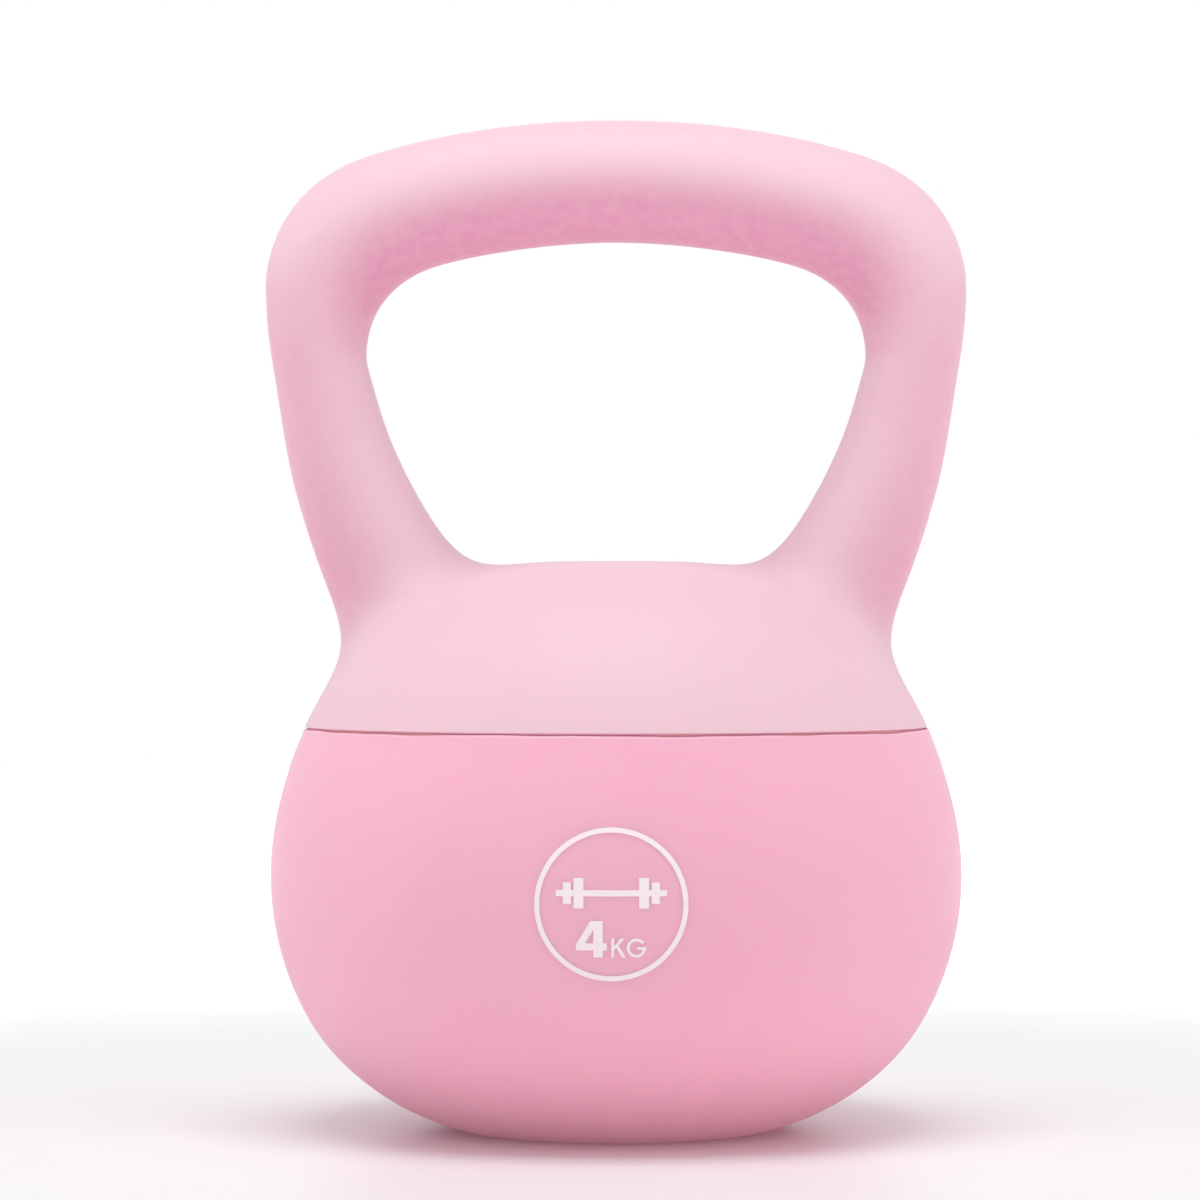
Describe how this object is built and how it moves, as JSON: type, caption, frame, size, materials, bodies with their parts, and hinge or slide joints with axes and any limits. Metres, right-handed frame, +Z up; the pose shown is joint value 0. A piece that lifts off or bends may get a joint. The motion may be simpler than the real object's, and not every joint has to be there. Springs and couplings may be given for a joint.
{
  "type": "soft kettlebell",
  "caption": "Soft kettlebell: rounded hard-plastic loop handle and shoulder on a soft, sand-filled round body with a flat foot",
  "frame": {"origin": "centre of the flat foot, on the floor", "axes": "Z up; X along the grip, across the loop; the front with the weight mark faces -Y; the loop lies in the XZ plane"},
  "size_m": [0.167, 0.1645, 0.2402],
  "materials": {
    "shell_pink": "fine matte",
    "plain_pp": "natural",
    "gasket_rubber": "matte",
    "body_pink": "soft matte",
    "zinc_steel": "zinc plated",
    "foam": "closed-cell foam",
    "iron_sand": "granular",
    "plug_pvc": "soft matte",
    "black_rubber": "satin",
    "print_white": "printed"
  },
  "bodies": {
    "root": {"handle_front_half": "shell_pink", "handle_rear_half": "shell_pink", "bulkhead_plate": "plain_pp", "seam_gasket": "gasket_rubber", "soft_shell": "body_pink", "clamp_ring": "plain_pp", "clamp_washers": "zinc_steel", "clamp_screws": "zinc_steel", "foam_disc": "foam", "iron_sand": "iron_sand", "fill_collar": "plain_pp", "fill_plug": "plug_pvc", "plug_oring": "black_rubber", "weight_mark": "print_white"}
  },
  "joints": []
}
